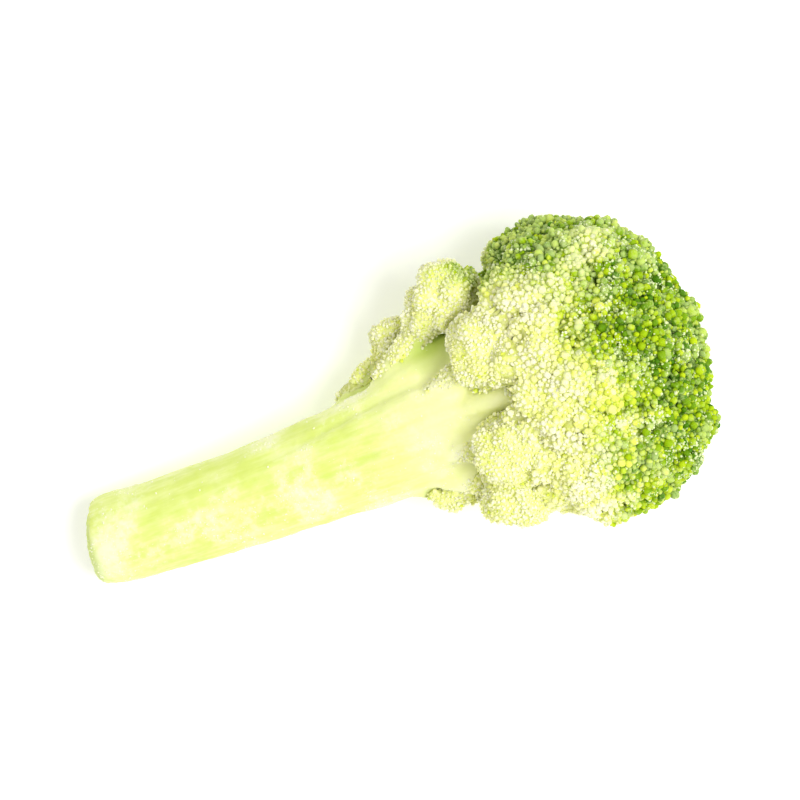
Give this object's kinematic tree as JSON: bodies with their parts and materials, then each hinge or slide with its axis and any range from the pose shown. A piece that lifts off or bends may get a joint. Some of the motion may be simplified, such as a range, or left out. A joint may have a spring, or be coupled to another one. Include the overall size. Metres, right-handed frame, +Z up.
{
  "type": "broccoli floret",
  "caption": "Frozen broccoli floret lying on its side: a pale cut stalk that forks into short branches under a domed crown of green flower bud clusters.",
  "frame": {"origin": "centre of the bounding box at the surface the floret lies on", "axes": "+X from the stalk's cut end towards the crown, +Y across the floret, +Z up from the surface"},
  "size_m": [0.0696, 0.0346, 0.0305],
  "materials": {
    "stalk_flesh": "moist, pale cream green, lightly frosted",
    "branch_flesh": "pale yellow green, lightly frosted",
    "buds": "matt, grainy, green with frost on the grains"
  },
  "bodies": {
    "root": {"branch_collar_back": "branch_flesh", "branch_collar_front": "branch_flesh", "branch_collar_high": "branch_flesh", "branch_collar_low": "branch_flesh", "branch_collar_under": "branch_flesh", "branch_lip": "branch_flesh", "branch_shoulder_1": "branch_flesh", "branch_shoulder_2": "branch_flesh", "branch_shoulder_3": "branch_flesh", "branch_shoulder_4": "branch_flesh", "branch_shoulder_5": "branch_flesh", "branch_side_inner": "branch_flesh", "branch_side_outer": "branch_flesh", "branch_skirt_1": "branch_flesh", "branch_skirt_2": "branch_flesh", "branch_skirt_3": "branch_flesh", "branch_skirt_4": "branch_flesh", "branch_skirt_5": "branch_flesh", "branch_skirt_6": "branch_flesh", "branch_skirt_7": "branch_flesh", "branch_tip": "branch_flesh", "buds_collar_back": "buds", "buds_collar_front": "buds", "buds_collar_high": "buds", "buds_collar_low": "buds", "buds_collar_under": "buds", "buds_lip": "buds", "buds_shoulder_1": "buds", "buds_shoulder_2": "buds", "buds_shoulder_3": "buds", "buds_shoulder_4": "buds", "buds_shoulder_5": "buds", "buds_side_inner": "buds", "buds_side_outer": "buds", "buds_skirt_1": "buds", "buds_skirt_2": "buds", "buds_skirt_3": "buds", "buds_skirt_4": "buds", "buds_skirt_5": "buds", "buds_skirt_6": "buds", "buds_skirt_7": "buds", "buds_tip": "buds", "stalk": "stalk_flesh"}
  },
  "joints": []
}
